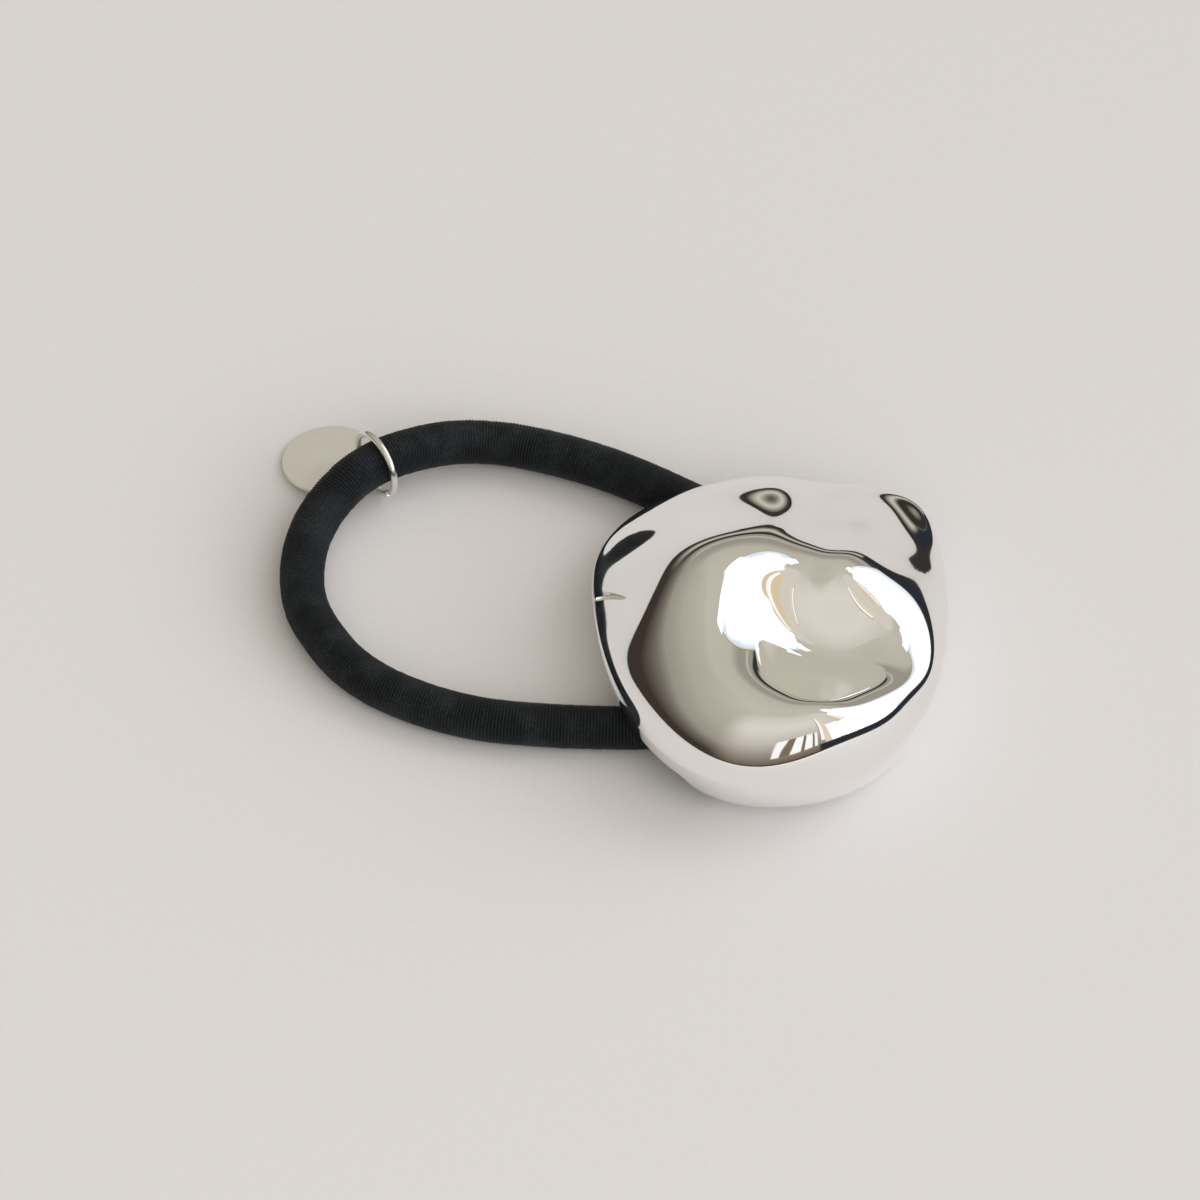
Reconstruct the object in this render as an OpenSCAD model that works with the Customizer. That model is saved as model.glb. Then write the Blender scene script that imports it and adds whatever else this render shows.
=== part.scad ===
// Metal cuff hair tie: a hollow pebble-shaped metal cuff on a closed round elastic,
// with a jump ring and a plain round tag. It lies on its open back, on the plane z = 0.
// The origin is at the middle of the cuff's footprint. +X runs away from the loop, +Y to the back.

/* [Cuff outline] */
// Reach of the cuff towards the loop, from its pole
reach_left = 19.9; // [18:0.1:22]
// Reach of the cuff away from the loop
reach_right = 20.3; // [18:0.1:22]
// Reach of the cuff to the front
reach_front = 32.3; // [30:0.1:34]
// Reach of the cuff to the back
reach_back = 17.6; // [16:0.1:20]
// Squareness of the outline, 2 is an ellipse
outline_power = 2.28; // [2:0.01:2.8]
// Turn of the outline about the upright axis
outline_turn = 3.5; // [-15:0.5:15]
// Swell of the outline at the corner behind on the right
corner = 2.1; // [0:0.1:2.5]

/* [Cuff section] */
// Height of the widest line above the rim
waist_h = 6.9; // [6.8:0.1:8]
// How far the flank curls in under the waist
flank_r = 11; // [8:0.1:12]
// Height of the crown above the waist at the pole, before the swells and hollows
crown_h = 7.7; // [7:0.1:12]
// Squareness of the crown's plan
crown_power = 2.34; // [1.8:0.01:2.8]
// Squareness of the crown's section
section_power = 1.25; // [1.1:0.01:1.6]
// Thickness of the metal
wall = 1.8; // [1.4:0.1:2.2]

/* [Back bar and notches] */
// Thickness of the bar across the open back
bar_d = 1.6; // [1.2:0.1:1.8]
// Height of the notches that the elastic passes through
notch_h = 6; // [5.6:0.1:6.2]

/* [Elastic] */
// Thickness of the elastic
elastic_d = 5; // [4.5:0.1:5]

/* [Jump ring and tag] */
// Outer diameter of the jump ring
ring_d = 8.3; // [8.2:0.1:8.4]
// Thickness of its wire
ring_wire = 0.85; // [0.7:0.05:0.85]
// Diameter of the tag
tag_d = 11.4; // [11:0.1:12]
// Thickness of the tag
tag_t = 0.5; // [0.4:0.05:0.6]
// Diameter of the hole in the tag
tag_hole_d = 2.4; // [2.3:0.1:2.6]

/* [Hidden] */

// Swells and hollows of the crown: rise, x, y, spread along, spread across, turn
swells = [
    [-9, 3.4, -19.4, 6.9, 5.5, -86],
    [3.7, -20, 1.5, 9.5, 4.9, 2],
    [-2.6, 11, -20.5, 4, 2.4, 51],
    [4.8, 6.9, -29, 4.3, 2.4, 10],
    [2.8, 7, -10.2, 6.5, 3.1, 64],
    [-3.4, 7.5, 17, 12.6, 2.9, 83],
    [-7.4, 8.5, -13.1, 6.8, 3.9, -19],
    [-6.2, 14.7, 17, 7.5, 5.7, -65],
    [5.2, -9, -7, 10.2, 6.4, 7],
];
// The corner's heading and spread, as angles about the pole
corner_at = 43;
corner_spread = 12;

// Slope of the waist, and slope and fall of the crown, along x and y
waist_slope = [0.01, -0.05];
crown_slope = [0.156, -0.117];
crown_fall = [0.019, -0.03];

// Rings of the cuff's mesh, and the angle through which the flank curls
around = 72;
crown_rings = 34;
flank_rings = 6;
inner_rings = 14;
curl = 67.5;

// Notches: middle and half width, as angles about the pole
notches = [[104, 29], [232, 29]];

// The bar: its height, how far behind the pole it lies, and its ends along x
bar_z = 1.1;
bar_y = 0.6;
bar_ends = [-14.5, 14.7];

// Middle line of the elastic, from the bar round the loop: x, y, height, measured from the pole
route = [
    [5, -0.4, 4.6], [4.4, 3.6, 4.4], [2, 7.4, 3.7], [-1.4, 11, 2.9], [-5.5, 15.1, 2.6],
    [-10.5, 18.3, 2.7], [-15.5, 21.2, 2.8], [-20.5, 23.6, 2.8], [-25.5, 25.4, 2.8], [-30.5, 26.5, 2.9],
    [-35.5, 26.2, 3.4], [-40, 24.4, 4.2], [-44, 22.1, 4.7], [-47.4, 19.5, 4.3], [-50.5, 16, 3],
    [-52.3, 11.4, 2.6], [-52.9, 6.2, 2.55], [-52.4, 1.5, 2.55], [-50.7, -2.8, 2.55], [-47.8, -7.4, 2.55],
    [-43.9, -11, 2.55], [-38.5, -14, 2.55], [-32.5, -16, 2.55], [-26, -16.9, 2.55], [-19.5, -17.3, 2.55],
    [-13.5, -17.3, 2.55], [-8, -16.5, 2.55], [-2.8, -14.8, 2.6], [1.6, -11, 3.2], [4.3, -5.9, 4.2],
];
elastic_sides = 12;
steps = 2;

// Jump ring: its middle, the heading from the loop outwards, and the cut in the wire
ring_middle = [-44.47, 22.19, 4.18];
ring_heading = 123.3;
cut_at = 222;
cut_angle = 9;

// Tag: where it hangs on the ring, its heading and reach from there, and the slope it lies at
tag_on_ring = -53.3;
tag_heading = 156.4;
tag_reach = 4.25;
tag_slope = 5.8;
slope_heading = 119.9;

function outline(u) =
    let (c = cos(u - outline_turn), s = sin(u - outline_turn))
    pow(pow(abs(c) / (c > 0 ? reach_right : reach_left), outline_power)
        + pow(abs(s) / (s > 0 ? reach_back : reach_front), outline_power), -1 / outline_power)
    + corner * exp(-pow((u - corner_at) / corner_spread, 2) / 2);

function swell(x, y, row) =
    let (dx = x - row[1], dy = y - row[2],
        along = (dx * cos(row[5]) + dy * sin(row[5])) / row[3],
        across = (-dx * sin(row[5]) + dy * cos(row[5])) / row[4])
    row[0] * exp(-(along * along + across * across) / 2);

function sum(list, i = 0) = i < len(list) ? list[i] + sum(list, i + 1) : 0;

function waist(x, y) = waist_h + waist_slope * [x, y];
function crown(x, y) =
    crown_h + crown_slope * [x, y] - crown_fall * [x * x, y * y] / 2
    + sum([for (row = swells) swell(x, y, row)]);

// A point of the crown at angle u, from the pole, a = 0, to the waist, a = 90
function crown_point(u, a, inset) =
    let (r = sin(a) * (outline(u) - inset), x = r * cos(u), y = r * sin(u),
        share = pow(max(0, 1 - pow(sin(a), crown_power)), 1 / section_power))
    [x, y, waist(x, y) + share * (crown(x, y) - inset)];

// Height of the rim at angle u: zero, and raised at the notches
function notch(u, row) =
    let (t = abs(u - row[0]) / row[1])
    t > 1 ? 0 : t < 0.6 ? 1 : (1 + cos((t - 0.6) * 450)) / 2;
function rim_z(u) = notch_h * sum([for (row = notches) notch(u, row)]);

// A point of the flank at angle u, from the waist, part = 0, to the rim, part = 1
function flank_point(u, part, inset) =
    let (out = outline(u), top = waist(out * cos(u), out * sin(u)),
        end = asin(sin(curl) * (1 - rim_z(u) / top)), b = part * end,
        r = out - inset / max(cos(b), 0.5) - flank_r * (1 - cos(b)))
    [r * cos(u), r * sin(u), top * (1 - sin(b) / sin(curl))];

turns = [for (i = [0:around - 1]) i * 360 / around];
rim_x = [for (u = turns) outline(u) * cos(u)];
rim_y = [for (u = turns) outline(u) * sin(u)];
// The pole, measured from the middle of the footprint
pole = -[max(rim_x) + min(rim_x), max(rim_y) + min(rim_y), 0] / 2;

module shell() {
    rings = crown_rings + 2 * flank_rings + inner_rings;
    tip = [0, 0, waist(0, 0) + crown(0, 0)];
    points = [
        for (k = [1:crown_rings]) for (u = turns) crown_point(u, 90 * k / crown_rings, 0),
        for (k = [1:flank_rings]) for (u = turns) flank_point(u, k / flank_rings, 0),
        for (k = [flank_rings:-1:1]) for (u = turns) flank_point(u, k / flank_rings, wall),
        for (k = [inner_rings:-1:1]) for (u = turns) crown_point(u, 90 * k / inner_rings, wall),
        tip, tip - [0, 0, wall]
    ];
    last = rings * around;
    faces = [
        for (i = [0:around - 1]) [last, (i + 1) % around, i],
        for (k = [0:rings - 2]) for (i = [0:around - 1])
            let (a = k * around + i, b = k * around + (i + 1) % around)
            each [[a, b, b + around], [a, b + around, a + around]],
        for (i = [0:around - 1]) [last + 1, last - around + i, last - around + (i + 1) % around]
    ];
    polyhedron(points, faces);
}

module back_bar() {
    translate([bar_ends[0], bar_y, bar_z]) rotate([0, 90, 0])
        cylinder(d = bar_d, h = bar_ends[1] - bar_ends[0], $fn = 24);
}

module cuff() {
    color("silver") union() {
        shell();
        back_bar();
    }
}

// Smooth closed line through the route's points
function route_point(i, t) =
    let (n = len(route), a = route[(i + n - 1) % n], b = route[i % n],
        c = route[(i + 1) % n], d = route[(i + 2) % n])
    (2 * b + (c - a) * t + (2 * a - 5 * b + 4 * c - d) * t * t + (3 * b - a - 3 * c + d) * t * t * t) / 2;
function unit(v) = v / norm(v);

module elastic_band() {
    line = [for (i = [0:len(route) - 1]) for (k = [0:steps - 1]) route_point(i, k / steps)];
    n = len(line);
    points = [
        for (i = [0:n - 1])
            let (ahead = unit(line[(i + 1) % n] - line[(i + n - 1) % n]),
                side = unit(cross(ahead, [0, 0, 1])), up = cross(side, ahead))
            for (k = [0:elastic_sides - 1])
                let (a = k * 360 / elastic_sides)
                line[i] + elastic_d / 2 * (cos(a) * side + sin(a) * up)
    ];
    faces = [
        for (i = [0:n - 1]) for (k = [0:elastic_sides - 1])
            let (a = i * elastic_sides, b = ((i + 1) % n) * elastic_sides, m = (k + 1) % elastic_sides)
            each [[a + k, b + k, b + m], [a + k, b + m, a + m]]
    ];
    color("#1d2225") polyhedron(points, faces);
}

ring_r = (ring_d - ring_wire) / 2;

module jump_ring() {
    color("silver") translate(ring_middle) rotate([0, 0, ring_heading]) rotate([90, 0, 0])
        rotate([0, 0, cut_at + cut_angle / 2])
        rotate_extrude(angle = 360 - cut_angle, $fn = 48)
        translate([ring_r, 0]) circle(d = ring_wire, $fn = 24);
}

module tag() {
    hook = ring_middle + ring_r * [cos(tag_on_ring) * cos(ring_heading),
        cos(tag_on_ring) * sin(ring_heading), sin(tag_on_ring)];
    color("gainsboro") translate(hook) rotate([0, 0, slope_heading]) rotate([0, tag_slope, 0])
        rotate([0, 0, tag_heading - slope_heading]) difference() {
            translate([tag_reach, 0, 0]) cylinder(d = tag_d, h = tag_t, center = true, $fn = 64);
            cylinder(d = tag_hole_d, h = 3 * tag_t, center = true, $fn = 24);
        }
}

translate(pole) {
    cuff();
    elastic_band();
    jump_ring();
    tag();
}
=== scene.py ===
import math

import bmesh
import bpy
from mathutils import Matrix, Vector, noise


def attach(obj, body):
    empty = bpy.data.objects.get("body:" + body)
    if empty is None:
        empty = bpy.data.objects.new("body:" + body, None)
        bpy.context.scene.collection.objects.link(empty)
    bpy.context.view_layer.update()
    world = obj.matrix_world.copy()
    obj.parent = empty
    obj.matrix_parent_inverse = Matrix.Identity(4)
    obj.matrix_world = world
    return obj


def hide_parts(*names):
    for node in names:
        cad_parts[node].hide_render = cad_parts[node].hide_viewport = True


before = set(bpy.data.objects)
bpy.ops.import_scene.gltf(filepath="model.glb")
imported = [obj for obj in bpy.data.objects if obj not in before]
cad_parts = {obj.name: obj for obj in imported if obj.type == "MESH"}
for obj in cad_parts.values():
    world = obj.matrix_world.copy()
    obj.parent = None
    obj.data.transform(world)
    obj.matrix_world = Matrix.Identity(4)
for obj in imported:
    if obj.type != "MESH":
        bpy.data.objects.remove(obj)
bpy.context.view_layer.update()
print("frame loaded:", sorted(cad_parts))

mm = 0.001

# The view: a long lens from the front
view = {
    "target": (-19.29, 12.14, 0.0),  # mm, what the middle of the picture looks at
    "elevation": 47.0,  # degrees above the table
    "distance": 6000.0,  # mm
    "width": 136.4,  # mm across the picture at the target
    "sensor": 36.0,
    "clip": (0.05, 40.0),  # m, the nearest and the furthest that shows
}


def makeCamera():
    lens = bpy.data.cameras.new("camera")
    lens.sensor_width = view["sensor"]
    lens.lens = view["sensor"] * view["distance"] / view["width"]
    lens.clip_start, lens.clip_end = view["clip"]
    camera = bpy.data.objects.new("camera", lens)
    bpy.context.collection.objects.link(camera)
    tilt = math.radians(view["elevation"])
    back = Vector((0.0, -math.cos(tilt), math.sin(tilt)))
    camera.location = Vector(view["target"]) * mm + back * view["distance"] * mm
    camera.rotation_euler = (math.radians(90.0 - view["elevation"]), 0.0, 0.0)
    bpy.context.scene.camera = camera


makeCamera()
print("camera placed")


# Shader building
class Wire:
    # A socket that can be used in sums and products
    def __init__(self, shader, socket):
        self.shader = shader
        self.socket = socket

    def __add__(self, other):
        return self.shader.maths("ADD", self, other)

    def __radd__(self, other):
        return self.shader.maths("ADD", other, self)

    def __sub__(self, other):
        return self.shader.maths("SUBTRACT", self, other)

    def __rsub__(self, other):
        return self.shader.maths("SUBTRACT", other, self)

    def __mul__(self, other):
        return self.shader.maths("MULTIPLY", self, other)

    def __rmul__(self, other):
        return self.shader.maths("MULTIPLY", other, self)

    def __truediv__(self, other):
        return self.shader.maths("DIVIDE", self, other)

    def __rtruediv__(self, other):
        return self.shader.maths("DIVIDE", other, self)


class Shader:
    def __init__(self, owner):
        owner.use_nodes = True
        self.tree = owner.node_tree
        self.tree.nodes.clear()

    def put(self, socket, value):
        if isinstance(value, Wire):
            self.tree.links.new(value.socket, socket)
        else:
            socket.default_value = value

    # Any node: its type, its settings, and its sockets' values in order or by name
    def add(self, kind, settings=None, values=(), output=0):
        node = self.tree.nodes.new(kind)
        for name, setting in (settings or {}).items():
            if name == "stops":
                ramp = node.color_ramp
                while len(ramp.elements) < len(setting):
                    ramp.elements.new(1.0)
                for element, (place, colour) in zip(ramp.elements, setting):
                    element.position, element.color = place, (*colour, 1.0)
            else:
                setattr(node, name, setting)
        pairs = values.items() if isinstance(values, dict) else enumerate(values)
        for key, value in pairs:
            self.put(node.inputs[key], value)
        return Wire(self, node.outputs[output]) if node.outputs else None

    def maths(self, operation, *values):
        return self.add("ShaderNodeMath", {"operation": operation}, values)

    def noise(self, place, scale, detail):
        return self.add("ShaderNodeTexNoise", {}, {"Vector": place, "Scale": scale, "Detail": detail})

    # Turns and stretches a pattern's coordinates
    def mapped(self, place, scale, turn=(0.0, 0.0, 0.0)):
        return self.add("ShaderNodeMapping", {}, {"Vector": place, "Rotation": turn, "Scale": scale})

    def bump(self, height, depth, strength):
        return self.add("ShaderNodeBump", {}, {"Strength": strength, "Distance": depth, "Height": height})

    # The colour sockets of a Mix node are 6 and 7, and its colour comes out of 2
    def mix(self, share, first, second):
        sockets = {0: share, 6: colour4(first), 7: colour4(second)}
        return self.add("ShaderNodeMix", {"data_type": "RGBA"}, sockets, 2)

    # Rises from 0 to 1 as value goes from low to high
    def step(self, value, low, high):
        sockets = {"Value": value, "From Min": low, "From Max": high}
        return self.add("ShaderNodeMapRange", {"interpolation_type": "SMOOTHSTEP"}, sockets)

    # One between low and high, with soft edges, and zero outside
    def band(self, value, low, high, soft):
        return self.step(value, low - soft, low + soft) * (1 - self.step(value, high - soft, high + soft))


def colour4(colour):
    return colour if isinstance(colour, Wire) else (*colour, 1.0)


# Screen colours, 0 to 255, to the light values that a shader takes
def screen(red, green, blue):
    shares = (red / 255, green / 255, blue / 255)
    return tuple(((v + 0.055) / 1.055) ** 2.4 if v > 0.04 else v / 12.92 for v in shares)


# A material whose varying sockets come from a look, with the others fixed
def finishMaterial(name, look, **fixed):
    material = bpy.data.materials.new(name)
    shader = Shader(material)
    surface = shader.add("ShaderNodeBsdfPrincipled", {}, fixed)
    body = surface.socket.node
    for key, value in look(shader).items():
        shader.put(body.inputs[key], colour4(value) if key == "Base Color" else value)
    shader.add("ShaderNodeOutputMaterial", {}, {"Surface": surface})
    return material


def objectPlace(shader):
    return shader.add("ShaderNodeTexCoord", output="Object")


# A finished mesh becomes an object at the origin
def placePiece(name, mesh, material):
    body = bpy.data.meshes.new(name)
    mesh.to_mesh(body)
    mesh.free()
    piece = bpy.data.objects.new(name, body)
    bpy.context.collection.objects.link(piece)
    body.materials.append(material)
    body.shade_smooth()
    return piece


def sharpen(mesh, degrees):
    limit = math.radians(degrees)
    for edge in mesh.edges:
        if len(edge.link_faces) == 2 and edge.calc_face_angle(0.0) > limit:
            edge.smooth = False


# The edges where faces meet at more than a radian
def cornersOf(mesh):
    return [edge for edge in mesh.edges if edge.calc_face_angle(0.0) > 1.0]


def roundEdges(mesh, edges, offset, slide=False):
    bmesh.ops.bevel(
        mesh, geom=edges, offset=offset, offset_type="OFFSET", affect="EDGES",
        segments=3, profile=0.5, material=-1, loop_slide=slide,
    )


# The cuff
cuff = {
    "reachLeft": 19.9,  # mm from the pole, as all the cuff's sizes
    "reachRight": 20.3,
    "reachFront": 32.3,
    "reachBack": 17.6,
    "outlinePower": 2.28,
    "outlineTurn": 3.5,  # degrees
    "corner": 2.1,
    "cornerAt": 43.0,  # degrees
    "cornerSpread": 12.0,
    "waistHeight": 6.9,
    "waistSlope": (0.01, -0.05),  # along x and y
    "flankRadius": 11.0,
    "curl": 67.5,  # degrees that the flank turns through under the waist
    "crownHeight": 7.7,
    "crownSlope": (0.156, -0.117),
    "crownFall": (0.019, -0.03),
    "crownPower": 2.34,
    "sectionPower": 1.25,
    # Swells and hollows of the crown: rise, x, y, spread along, spread across, turn
    "swells": (
        (-9, 3.4, -19.4, 6.9, 5.5, -86),
        (3.7, -20, 1.5, 9.5, 4.9, 2),
        (-2.6, 11, -20.5, 4, 2.4, 51),
        (4.8, 6.9, -29, 4.3, 2.4, 10),
        (2.8, 7, -10.2, 6.5, 3.1, 64),
        (-3.4, 7.5, 17, 12.6, 2.9, 83),
        (-7.4, 8.5, -13.1, 6.8, 3.9, -19),
        (-6.2, 14.7, 17, 7.5, 5.7, -65),
        (5.2, -9, -7, 10.2, 6.4, 7),
    ),
    "wall": 1.8,
    "leastLean": 0.5,  # keeps the inner wall from running away where the flank lies flat
    "notchHeight": 6.0,
    "notches": ((104, 29), (232, 29)),  # middle and half width, in degrees
    "notchFlat": 0.6,  # share of a notch that has its full height
    "pole": (-0.261, 7.314),  # where the pole stands in the part's frame
    "barEnds": (-14.5, 14.7),  # these too from the pole
    "barY": 0.6,
    "barZ": 1.1,
    "barThickness": 1.6,
    "barSides": 32,
    "around": 288,
    "crownRings": 110,
    "flankRings": 26,
    "innerRings": 44,
    "rimRound": 0.22,
    "sharpFrom": 35,  # degrees between faces
    "colour": (0.95, 0.945, 0.935),
    "roughness": (0.015, 0.03),  # where clean, and what smudges add
    "smudgeScale": 90.0,  # per metre, as all the patterns' scales unless noted
    "swayScale": 130.0,
    "swayDepth": 0.00003,  # m, how far the polish is from true
    "swayStrength": 0.3,
}

pole = Vector((*cuff["pole"], 0.0))


def polishedLook(shader):
    place = objectPlace(shader)
    smudge = shader.noise(place, cuff["smudgeScale"], detail=3.0)
    sway = shader.noise(place, cuff["swayScale"], detail=1.0)
    clean, smudged = cuff["roughness"]
    return {
        "Base Color": cuff["colour"],
        "Roughness": clean + smudged * smudge,
        "Normal": shader.bump(sway, cuff["swayDepth"], cuff["swayStrength"]),
    }


# How far the outline is from the pole at a turn round it
def outlineAt(turn):
    c = math.cos(turn - math.radians(cuff["outlineTurn"]))
    s = math.sin(turn - math.radians(cuff["outlineTurn"]))
    wide = cuff["reachRight"] if c > 0 else cuff["reachLeft"]
    deep = cuff["reachBack"] if s > 0 else cuff["reachFront"]
    power = cuff["outlinePower"]
    reach = ((abs(c) / wide) ** power + (abs(s) / deep) ** power) ** (-1 / power)
    off = (math.degrees(turn) % 360 - cuff["cornerAt"]) / cuff["cornerSpread"]
    return reach + cuff["corner"] * math.exp(-(off ** 2) / 2)


def waistAt(x, y):
    return cuff["waistHeight"] + cuff["waistSlope"][0] * x + cuff["waistSlope"][1] * y


# The crown's height above the waist
def crownAt(x, y):
    height = cuff["crownHeight"] + cuff["crownSlope"][0] * x + cuff["crownSlope"][1] * y
    height -= (cuff["crownFall"][0] * x * x + cuff["crownFall"][1] * y * y) / 2
    for rise, midX, midY, spreadAlong, spreadAcross, turn in cuff["swells"]:
        c, s = math.cos(math.radians(turn)), math.sin(math.radians(turn))
        along = ((x - midX) * c + (y - midY) * s) / spreadAlong
        across = (-(x - midX) * s + (y - midY) * c) / spreadAcross
        height += rise * math.exp(-(along * along + across * across) / 2)
    return height


# A point of the crown from the pole, where climb is 0, down to the waist
def crownPoint(turn, climb, inset):
    reach = math.sin(climb) * (outlineAt(turn) - inset)
    x, y = reach * math.cos(turn), reach * math.sin(turn)
    share = max(0.0, 1 - math.sin(climb) ** cuff["crownPower"]) ** (1 / cuff["sectionPower"])
    return x, y, waistAt(x, y) + share * (crownAt(x, y) - inset)


# Zero, and raised at the notches
def rimHeight(turn):
    height, flat = 0.0, cuff["notchFlat"]
    for middle, half in cuff["notches"]:
        off = abs(math.degrees(turn) % 360 - middle) / half
        if off < flat:
            height += 1.0
        elif off <= 1:
            height += (1 + math.cos((off - flat) / (1 - flat) * math.pi)) / 2
    return cuff["notchHeight"] * height


# A point of the flank from the waist, where part is 0, down to the rim
def flankPoint(turn, part, inset):
    out = outlineAt(turn)
    top = waistAt(out * math.cos(turn), out * math.sin(turn))
    most = math.sin(math.radians(cuff["curl"]))
    bend = part * math.asin(most * (1 - rimHeight(turn) / top))
    lean = max(math.cos(bend), cuff["leastLean"])
    reach = out - inset / lean - cuff["flankRadius"] * (1 - math.cos(bend))
    return reach * math.cos(turn), reach * math.sin(turn), top * (1 - math.sin(bend) / most)


# A ball is pressed into the shell: its upper rings make the crown and the flank,
# the lower ones turn in at the rim and line the inside
def makeCuff():
    crown, flank, inner = cuff["crownRings"], cuff["flankRings"], cuff["innerRings"]
    rings = crown + 2 * flank + inner
    mesh = bmesh.new()
    bmesh.ops.create_uvsphere(mesh, u_segments=cuff["around"], v_segments=rings + 1, radius=1.0)
    step = math.pi / (rings + 1)
    rimRows = (crown + flank, crown + flank + 1)
    rows = {}
    for vert in mesh.verts:
        row = round(math.acos(max(-1.0, min(1.0, vert.co.z))) / step)
        turn = math.atan2(vert.co.y, vert.co.x)
        if row <= crown:
            place = crownPoint(turn, math.pi / 2 * row / crown, 0.0)
        elif row <= crown + flank:
            place = flankPoint(turn, (row - crown) / flank, 0.0)
        elif row <= crown + 2 * flank:
            place = flankPoint(turn, (crown + 2 * flank + 1 - row) / flank, cuff["wall"])
        else:
            place = crownPoint(turn, math.pi / 2 * (rings + 1 - row) / inner, cuff["wall"])
        vert.co = Vector(place)
        rows[vert] = row
    rims = [e for e in mesh.edges if rows[e.verts[0]] == rows[e.verts[1]] and rows[e.verts[0]] in rimRows]
    roundEdges(mesh, rims, cuff["rimRound"], slide=True)
    # The bevel rounds the sharp inner rim downwards, so the points under the table are turned up
    for vert in mesh.verts:
        vert.co.z = abs(vert.co.z)
    (left, right), radius = cuff["barEnds"], cuff["barThickness"] / 2
    bar = bmesh.ops.create_cone(
        mesh, cap_ends=True, segments=cuff["barSides"], radius1=radius, radius2=radius,
        depth=right - left, matrix=Matrix.Rotation(math.pi / 2, 4, "Y"),
    )
    bmesh.ops.translate(mesh, vec=((left + right) / 2, cuff["barY"], cuff["barZ"]), verts=bar["verts"])
    bmesh.ops.translate(mesh, vec=pole, verts=mesh.verts)
    bmesh.ops.scale(mesh, vec=(mm, mm, mm), verts=mesh.verts)
    sharpen(mesh, cuff["sharpFrom"])
    return placePiece("metalCuff", mesh, finishMaterial("polishedMetal", polishedLook, Metallic=1.0))


metalCuff = makeCuff()
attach(metalCuff, "root")
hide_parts("cuff")
print("cuff made:", len(metalCuff.data.polygons), "faces")


# The elastic
elastic = {
    "thickness": 5.15,  # mm over the ribs
    "ribs": 440,
    "ribDepth": 0.12,
    "unevenness": 0.1,
    "unevenGrain": (0.23, 1.4),  # along for each row of points, and across
    "evenEnds": 0.05,  # share of the loop at each side of the seam that stays even
    "sides": 28,
    "lineSteps": 3000,  # short straight steps that the line is measured in
    "pathStep": 8,  # rows from one point of the cord's path to the next
    # Middle line, from the bar round the loop: x, y, height in mm, from the pole
    "route": (
        (5, -0.4, 4.6), (4.4, 3.6, 4.4), (2, 7.4, 3.7), (-1.4, 11, 2.9), (-5.5, 15.1, 2.6),
        (-10.5, 18.3, 2.7), (-15.5, 21.2, 2.8), (-20.5, 23.6, 2.8), (-25.5, 25.4, 2.8), (-30.5, 26.5, 2.9),
        (-35.5, 26.2, 3.4), (-40, 24.4, 4.2), (-44, 22.1, 4.7), (-47.4, 19.5, 4.3), (-50.5, 16, 3),
        (-52.3, 11.4, 2.6), (-52.9, 6.2, 2.55), (-52.4, 1.5, 2.55), (-50.7, -2.8, 2.55), (-47.8, -7.4, 2.55),
        (-43.9, -11, 2.55), (-38.5, -14, 2.55), (-32.5, -16, 2.55), (-26, -16.9, 2.55), (-19.5, -17.3, 2.55),
        (-13.5, -17.3, 2.55), (-8, -16.5, 2.55), (-2.8, -14.8, 2.6), (1.6, -11, 3.2), (4.3, -5.9, 4.2),
    ),
    # The rib colours are painted light: painted shade in the grooves and a painted highlight on the tops
    "shadedGrooves": (7, 9, 12),  # screen colours
    "litRibTops": (37, 41, 45),
    # Lighter patches: lint, with painted sheen
    "lintAndSheen": (49, 55, 58),
    "fibreScale": (1.3, 46.0),  # to a rib, and across
    "strands": (0.38, 0.66),  # the fibre noise from which strands start and are full
    "strandShares": (0.35, 0.65),  # of a rib's light: without strands, and what they add
    "patchScale": 230.0,
    "patches": (0.42, 0.68),
    "patchShares": (0.2, 0.4),
    "roughness": (0.6, 0.25),  # the least, and what fibres add
    "reliefShares": (0.7, 0.8),  # of the ribs and of the fibres
    "reliefDepth": 0.0001,  # m
    "reliefStrength": 0.8,
    "gloss": 0.15,
    "sheen": 0.06,
}


# Woven cover: fine ribs across, with painted shade in their grooves and a painted highlight on their tops,
# loose fibres, and lighter patches of lint with painted sheen
def coverLook(shader):
    along = shader.add("ShaderNodeUVMap", {"uv_map": "along"})
    length = shader.add("ShaderNodeSeparateXYZ", {}, {0: along})
    rib = shader.maths("COSINE", length * (elastic["ribs"] * 2 * math.pi)) * 0.5 + 0.5
    fibreAlong, fibreAcross = elastic["fibreScale"]
    stretched = shader.mapped(along, (elastic["ribs"] * fibreAlong, fibreAcross, 1.0))
    fibre = shader.noise(stretched, 1.0, detail=3.0)
    patch = shader.noise(objectPlace(shader), elastic["patchScale"], detail=3.0)
    strand = shader.step(fibre, *elastic["strands"])
    bare, full = elastic["strandShares"]
    # The ribs' painted shade and painted highlight, with the highlight stronger where strands show
    tone = shader.mix(rib * (bare + full * strand), screen(*elastic["shadedGrooves"]), screen(*elastic["litRibTops"]))
    bare, full = elastic["patchShares"]
    # Random patches of lint with painted sheen, stronger where strands show
    lintAndSheen = shader.step(patch, *elastic["patches"]) * (bare + full * strand)
    smooth, rough = elastic["roughness"]
    ribShare, fibreShare = elastic["reliefShares"]
    relief = rib * ribShare + fibre * fibreShare
    return {
        "Base Color": shader.mix(lintAndSheen, tone, screen(*elastic["lintAndSheen"])),
        "Roughness": smooth + rough * fibre,
        "Normal": shader.bump(relief, elastic["reliefDepth"], elastic["reliefStrength"]),
    }


# A point of the smooth closed line through the route's points, share from 0 to 1
def linePoint(share):
    count = len(elastic["route"])
    at = (share % 1.0) * count
    start = int(at)
    t = at - start
    a, b, c, d = (Vector(elastic["route"][(start + k) % count]) for k in (-1, 0, 1, 2))
    curve = 2 * b + (c - a) * t + (2 * a - 5 * b + 4 * c - d) * t * t + (3 * b - a - 3 * c + d) * t * t * t
    return pole + curve / 2


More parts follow.
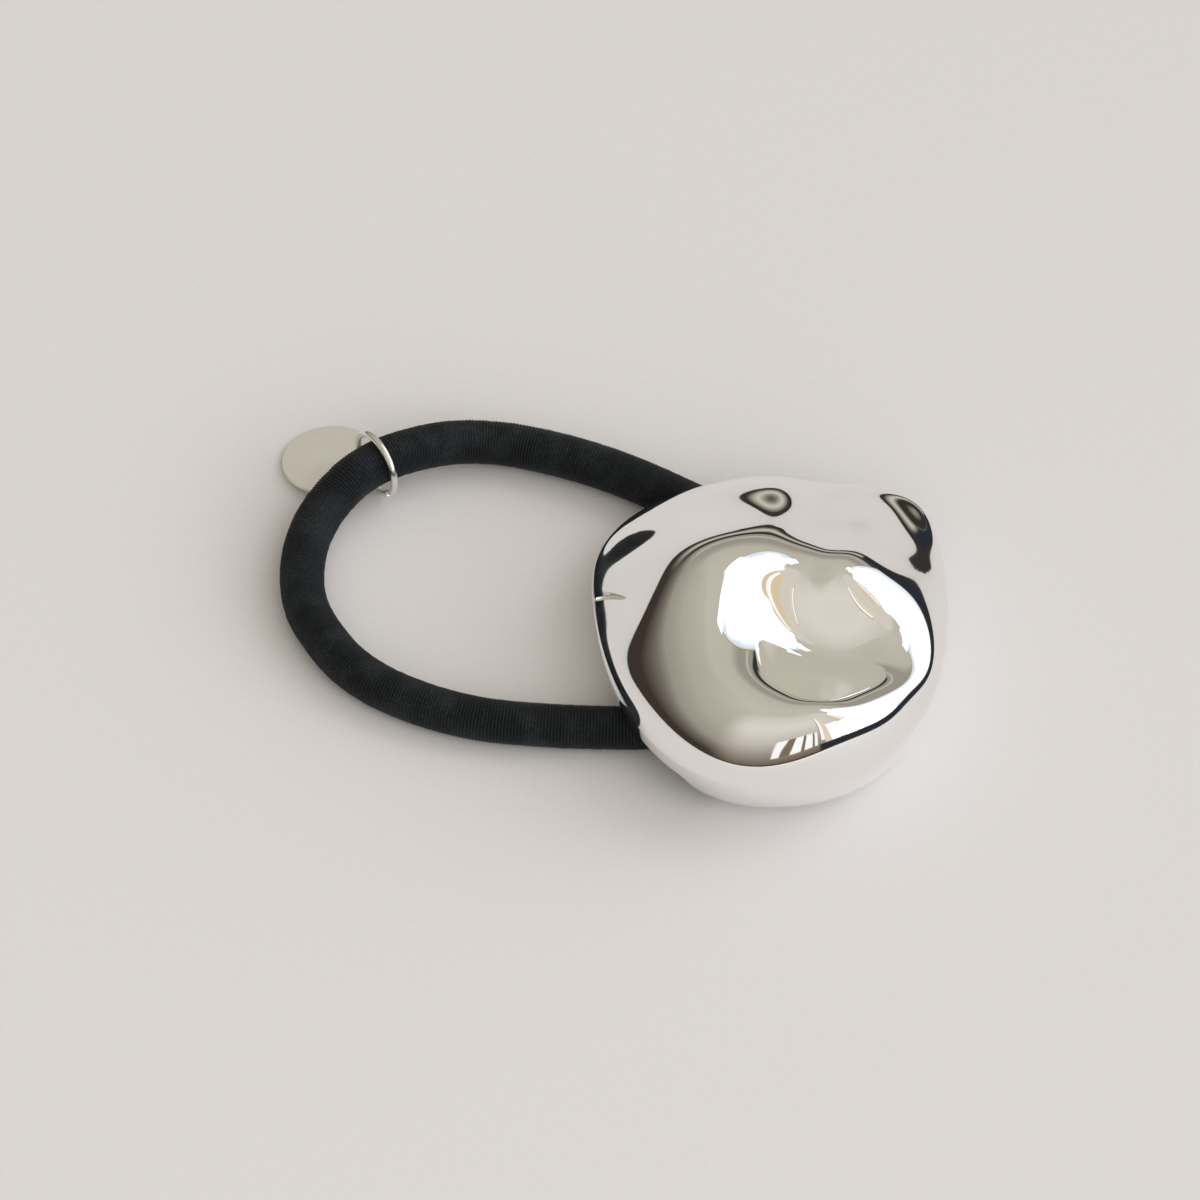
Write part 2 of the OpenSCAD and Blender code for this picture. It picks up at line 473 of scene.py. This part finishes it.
# A flat grid is wrapped round the line, with two rows of points to each rib
def makeElastic():
    rows, steps = 2 * elastic["ribs"], elastic["lineSteps"]
    fine = [linePoint(k / steps) for k in range(steps)]
    lengths = [0.0]
    for k in range(steps):
        lengths.append(lengths[-1] + (fine[(k + 1) % steps] - fine[k]).length)
    places, at = [], 0
    for row in range(rows):
        goal = lengths[-1] * row / rows
        while lengths[at + 1] < goal:
            at += 1
        part = (goal - lengths[at]) / (lengths[at + 1] - lengths[at])
        places.append(fine[at].lerp(fine[(at + 1) % steps], part))
    mesh = bmesh.new()
    mesh.loops.layers.uv.new("along")
    bmesh.ops.create_grid(mesh, x_segments=rows, y_segments=elastic["sides"], size=0.5, calc_uvs=True)
    grainAlong, grainAcross = elastic["unevenGrain"]
    even = elastic["evenEnds"]
    for vert in mesh.verts:
        row = round((vert.co.x + 0.5) * rows)
        ahead = (places[(row + 2) % rows] - places[(row - 2) % rows]).normalized()
        side = ahead.cross(Vector((0.0, 0.0, 1.0))).normalized()
        up = side.cross(ahead)
        angle = (vert.co.y + 0.5) * 2 * math.pi
        radius = elastic["thickness"] / 2 - (elastic["ribDepth"] if row % 2 else 0.0)
        if even < row / rows < 1 - even:
            spot = Vector((row * grainAlong, math.cos(angle) * grainAcross, math.sin(angle) * grainAcross))
            radius -= elastic["unevenness"] * (0.5 + noise.noise(spot)) / 2
        vert.co = places[row % rows] + radius * (math.cos(angle) * side + math.sin(angle) * up)
    bmesh.ops.remove_doubles(mesh, verts=mesh.verts, dist=0.0001)
    bmesh.ops.scale(mesh, vec=(mm, mm, mm), verts=mesh.verts)
    bmesh.ops.recalc_face_normals(mesh, faces=mesh.faces)
    path = [p * mm for p in places[:: elastic["pathStep"]]]
    fixed = {"Specular IOR Level": elastic["gloss"], "Sheen Weight": elastic["sheen"]}
    cover = finishMaterial("elasticCover", coverLook, **fixed)
    return placePiece("elasticLoop", mesh, cover), path, lengths[-1] * mm


elasticLoop, elasticPath, elasticLength = makeElastic()
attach(elasticLoop, "root")
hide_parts("elastic_band")
print("elastic made: length", round(elasticLength, 4), "m,", len(elasticLoop.data.polygons), "faces")


# The jump ring
ring = {
    "middle": (-44.47, 22.19, 4.18),  # mm, from the pole
    "heading": 123.3,  # degrees, from the loop outwards
    "outer": 8.3,
    "wire": 0.85,
    "cutAt": 222.0,  # degrees round the ring
    "cutAngle": 9.0,
    "turns": 120,
    "sides": 20,
    "endRound": 0.12,
    "colour": (0.86, 0.84, 0.8),
    "roughness": (0.12, 0.1),  # the least, and what the grain adds
    "grainScale": 900.0,
}

ringRadius = (ring["outer"] - ring["wire"]) / 2
ringTurn = math.radians(ring["heading"])
ringHub = pole + Vector(ring["middle"])


def wireLook(shader):
    grain = shader.noise(objectPlace(shader), ring["grainScale"], detail=2.0)
    smooth, rough = ring["roughness"]
    return {"Base Color": ring["colour"], "Roughness": smooth + rough * grain}


# A point of the wire's middle line, degrees upwards from the side that is furthest out
def ringPoint(degrees):
    angle = math.radians(degrees)
    outward = Vector((math.cos(ringTurn), math.sin(ringTurn), 0.0))
    return ringHub + ringRadius * (math.cos(angle) * outward + math.sin(angle) * Vector((0.0, 0.0, 1.0)))


def makeRing():
    mesh = bmesh.new()
    section = bmesh.ops.create_circle(mesh, cap_ends=True, segments=ring["sides"], radius=ring["wire"] / 2)
    bmesh.ops.translate(mesh, vec=(ringRadius, 0.0, 0.0), verts=section["verts"])
    bmesh.ops.spin(
        mesh, geom=list(mesh.faces), cent=(0, 0, 0), axis=(0, -1, 0), dvec=(0, 0, 0),
        angle=math.radians(360.0 - ring["cutAngle"]), steps=ring["turns"],
        use_merge=False, use_duplicate=False,
    )
    bmesh.ops.recalc_face_normals(mesh, faces=mesh.faces)
    roundEdges(mesh, cornersOf(mesh), ring["endRound"])
    # The spin runs in the upright plane, from the cut's far side; now it is set round the elastic
    turn = Matrix.Rotation(-math.radians(ring["cutAt"] + ring["cutAngle"] / 2), 4, "Y")
    bmesh.ops.transform(mesh, matrix=Matrix.Rotation(ringTurn, 4, "Z") @ turn, verts=mesh.verts)
    bmesh.ops.translate(mesh, vec=ringHub, verts=mesh.verts)
    bmesh.ops.scale(mesh, vec=(mm, mm, mm), verts=mesh.verts)
    return placePiece("wireRing", mesh, finishMaterial("wireMetal", wireLook, Metallic=1.0))


wireRing = makeRing()
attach(wireRing, "root")
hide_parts("jump_ring")
print("jump ring made")


# The tag
tag = {
    "onRing": -53.3,  # degrees round the ring where the tag hangs
    "heading": 156.4,
    "reach": 4.25,  # mm from the hole to the middle
    "slope": 5.8,
    "slopeHeading": 119.9,
    "across": 11.4,
    "thickness": 0.5,
    "hole": 2.4,
    "edgeRound": 0.12,
    "segments": 96,
    "dark": (0.86, 0.83, 0.78),
    "light": (0.94, 0.91, 0.865),
    "metallic": 0.6,
    "roughness": (0.42, 0.12),  # the least, and what the brushing adds
    "brushTurn": 0.5,  # radians
    "brushScale": (300.0, 5200.0, 900.0),
    "brushDepth": 0.00003,  # m
    "brushStrength": 0.12,
}


def tagLook(shader):
    brushed = shader.mapped(objectPlace(shader), tag["brushScale"], (0.0, 0.0, tag["brushTurn"]))
    brush = shader.noise(brushed, 1.0, detail=3.0)
    smooth, rough = tag["roughness"]
    return {
        "Base Color": shader.mix(brush, tag["dark"], tag["light"]),
        "Roughness": smooth + rough * brush,
        "Normal": shader.bump(brush, tag["brushDepth"], tag["brushStrength"]),
    }


def makeTag():
    mesh = bmesh.new()
    outer = bmesh.ops.create_circle(mesh, segments=tag["segments"], radius=tag["across"] / 2)["verts"]
    bmesh.ops.translate(mesh, vec=(tag["reach"], 0.0, 0.0), verts=outer)
    bmesh.ops.create_circle(mesh, segments=tag["segments"], radius=tag["hole"] / 2)
    bmesh.ops.bridge_loops(mesh, edges=mesh.edges)
    bmesh.ops.translate(mesh, vec=(0.0, 0.0, -tag["thickness"] / 2), verts=mesh.verts)
    lifted = bmesh.ops.extrude_face_region(mesh, geom=list(mesh.faces))["geom"]
    top = [v for v in lifted if isinstance(v, bmesh.types.BMVert)]
    bmesh.ops.translate(mesh, vec=(0.0, 0.0, tag["thickness"]), verts=top)
    bmesh.ops.recalc_face_normals(mesh, faces=mesh.faces)
    roundEdges(mesh, cornersOf(mesh), tag["edgeRound"])
    # It is turned about its hole, then leaned, and hung on the ring
    lean = Matrix.Rotation(math.radians(tag["slope"]), 4, "Y")
    lean = Matrix.Rotation(math.radians(tag["slopeHeading"]), 4, "Z") @ lean
    swing = Matrix.Rotation(math.radians(tag["heading"] - tag["slopeHeading"]), 4, "Z")
    bmesh.ops.transform(mesh, matrix=lean @ swing, verts=mesh.verts)
    bmesh.ops.translate(mesh, vec=ringPoint(tag["onRing"]), verts=mesh.verts)
    bmesh.ops.scale(mesh, vec=(mm, mm, mm), verts=mesh.verts)
    return placePiece("roundTag", mesh, finishMaterial("tagMetal", tagLook, Metallic=tag["metallic"]))


roundTag = makeTag()
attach(roundTag, "root")
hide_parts("tag")
tuple(linePoint(0.0) * mm)
elastic["thickness"] * mm
print("tag made")


# The table and the light
stage = {
    "floorRadius": 1.6,  # m
    "floorSides": 96,
    "floorColour": (0.8, 0.78, 0.79),
    "floorGrain": 0.95,  # how dark the grain goes
    "floorGrainScale": 1400.0,
    "floorRoughness": 0.8,
    "floorGloss": 0.2,
    "fillPower": 7.0,  # W, a large soft lamp in front that the metal doesn't mirror
    "fillPlace": (0.35, -1.1, 0.85),  # m
    "fillSize": 1.6,
}

# The room that the metal mirrors. Turns are degrees round from +X, heights are degrees up,
# and colours are screen colours
room = {
    "light": 1.05,  # how strongly the whole room shines
    # The walls: their darkest and lightest colour, and how light they are from 0 to 1 by height
    "left": (
        (60, 50, 45), (190, 185, 170),
        ((3, 0), (9, 0.25), (14, 0.55), (30, 0.75), (85, 1)),
    ),
    "front": (
        (105, 90, 75), (215, 210, 200),
        ((0, 0), (20, 0.7), (35, 0.95), (45, 1), (85, 0.75)),
    ),
    # Behind on the right, with a pale ledge low down and another above a dark gap
    "behind": (
        (50, 48, 45), (200, 195, 180),
        (
            (1, 0), (3.4, 1), (5.4, 0), (7.6, 0), (8.6, 0.5), (11, 0.5), (12.5, 0.9), (14.5, 0.5),
            (22, 0.5), (34, 0.8), (90, 0.9),
        ),
    ),
    # The turns over which one wall passes into the next
    "leftToFront": (-150.0, -118.0),
    "frontToBehind": (0.0, 20.0),
    "behindToLeft": (108.0, 132.0),
    # The small window: first and last turn, lowest and highest, and soft edge, as in every row of five
    "smallWindow": (-94.0, -66.0, 5.0, 20.0, 0.6),
    "bright": (250, 250, 248),
    "slats": ((-90.0, -86.0), (-80.0, -77.5), (-71.0, -69.0)),  # first and last turn
    "slatSoft": 0.4,
    "slatColour": (120, 108, 92),
    # Round the large window: its outer frame, the light at its side and its inner frame
    "frames": (
        ((-63.5, 52.0, 4.0, 58.0, 0.4), (150, 144, 132)),
        ((-62.0, -57.5, 8.0, 57.0, 0.4), (250, 250, 248)),
        ((-58.0, 51.2, 5.0, 58.0, 0.4), (222, 208, 182)),
    ),
    "window": (-50.0, 50.0, 5.5, 56.5, 0.4),
    "windowLight": (4.5, 1.3),  # at its front end and at its far end
    "daylight": (1.0, 1.02, 1.06),
    "glass": (0.7, 0.79, 0.9),  # the light where the glass is streaked, and at its edges and far end
    "streakScale": (7.0, 7.0, 1.6),  # on a direction that is 1 long
    "streaks": (0.5, 0.62),
    "glassEdge": (-47.5, 47.5, 7.5, 54.0, 2.5),
    "glassEnd": (34.0, 52.0),
    "glassShares": (0.6, 0.3, 0.7),  # of streaks, edges and far end
    # Before the window's upper part: a blind, and a casing with a gap of light
    "covers": (
        ((-51.0, -4.0, 29.0, 80.0, 1.0), (208, 202, 191)),
        ((-27.0, -4.0, 27.0, 51.0, 1.0), (214, 196, 166)),
        ((-14.0, -9.0, 27.0, 51.0, 0.8), (250, 250, 248)),
    ),
    "farTop": (26.0, 56.0, 50.0, 62.0, 1.0),  # where the window rises higher at its far end
    "sill": (-64.0, 66.0, 1.5),  # first and last turn, and soft edge
    "sillHeights": (4.5, 5.5),
    "sillColour": (40, 45, 53),
    "skirting": (0.2, 0.8),
    "skirtingColour": (52, 46, 42),
}


def floorLook(shader):
    grain = shader.noise(objectPlace(shader), stage["floorGrainScale"], detail=2.0)
    light = stage["floorColour"]
    dark = tuple(c * stage["floorGrain"] for c in light)
    return {"Base Color": shader.mix(grain, dark, light), "Roughness": stage["floorRoughness"]}


def makeFloor():
    mesh = bmesh.new()
    bmesh.ops.create_circle(mesh, cap_ends=True, segments=stage["floorSides"], radius=stage["floorRadius"])
    tableTop = finishMaterial("tableTop", floorLook, **{"Specular IOR Level": stage["floorGloss"]})
    floor = placePiece("table", mesh, tableTop)


def makeFill():
    lamp = bpy.data.lights.new("fill", "AREA")
    lamp.shape, lamp.size, lamp.energy = "DISK", stage["fillSize"], stage["fillPower"]
    fill = bpy.data.objects.new("fill", lamp)
    bpy.context.collection.objects.link(fill)
    fill.location = stage["fillPlace"]
    fill.rotation_euler = (-fill.location).to_track_quat("-Z", "Y").to_euler()
    fill.visible_glossy = False


def makeRoom():
    world = bpy.data.worlds.new("room")
    bpy.context.scene.world = world
    shader = Shader(world)
    around = shader.add("ShaderNodeTexCoord", output="Generated")
    parts = shader.add("ShaderNodeSeparateXYZ", {}, {0: around})
    x, y, z = (Wire(shader, output) for output in parts.socket.node.outputs)
    up = shader.maths("ARCSINE", z) * (180 / math.pi)
    turn = shader.maths("ARCTAN2", y, x) * (180 / math.pi)

    def wall(name):
        dark, pale, shades = room[name]
        stops = [(height / 90, (shade, shade, shade)) for height, shade in shades]
        shade = shader.add("ShaderNodeValToRGB", {"stops": stops}, {0: up / 90})
        return shader.mix(shade, screen(*dark), screen(*pale))

    def box(first, last, bottom, top, soft):
        return shader.band(turn, first, last, soft) * shader.band(up, bottom, top, soft)

    inFront = shader.step(turn, *room["leftToFront"]) * (1 - shader.step(turn, *room["frontToBehind"]))
    isBehind = shader.step(turn, *room["frontToBehind"]) * (1 - shader.step(turn, *room["behindToLeft"]))
    seen = shader.mix(inFront, wall("left"), wall("front"))
    seen = shader.mix(isBehind, seen, wall("behind"))
    slats = sum((shader.band(turn, first, last, room["slatSoft"]) for first, last in room["slats"]), 0.0)
    slatted = shader.mix(slats, screen(*room["bright"]), screen(*room["slatColour"]))
    seen = shader.mix(box(*room["smallWindow"]), seen, slatted)
    for place, colour in room["frames"]:
        seen = shader.mix(box(*place), seen, screen(*colour))

    first, last = room["window"][:2]
    near, far = (tuple(strength * c for c in room["daylight"]) for strength in room["windowLight"])
    light = shader.mix(shader.step(turn, first, last), near, far)
    streaked = shader.noise(shader.mapped(around, room["streakScale"]), 1.0, detail=4.0)
    streaks = shader.step(streaked, *room["streaks"])
    edge = 1 - box(*room["glassEdge"])
    streakShare, edgeShare, endShare = room["glassShares"]
    cool = streaks * streakShare + edge * edgeShare + shader.step(turn, *room["glassEnd"]) * endShare
    seen = shader.mix(box(*room["window"]), seen, shader.mix(cool, light, room["glass"]))
    for place, colour in room["covers"]:
        seen = shader.mix(box(*place), seen, screen(*colour))
    seen = shader.mix(box(*room["farTop"]), seen, far)

    sill = shader.band(turn, *room["sill"]) * (1 - shader.step(up, *room["sillHeights"]))
    seen = shader.mix(sill, seen, screen(*room["sillColour"]))
    seen = shader.mix(1 - shader.step(up, *room["skirting"]), seen, screen(*room["skirtingColour"]))
    sky = shader.add("ShaderNodeBackground", {}, {"Color": seen, "Strength": room["light"]})
    shader.add("ShaderNodeOutputWorld", {}, {"Surface": sky})


makeFloor()
makeRoom()
makeFill()
bpy.context.scene.view_settings.view_transform = "Standard"
print("table and room made")
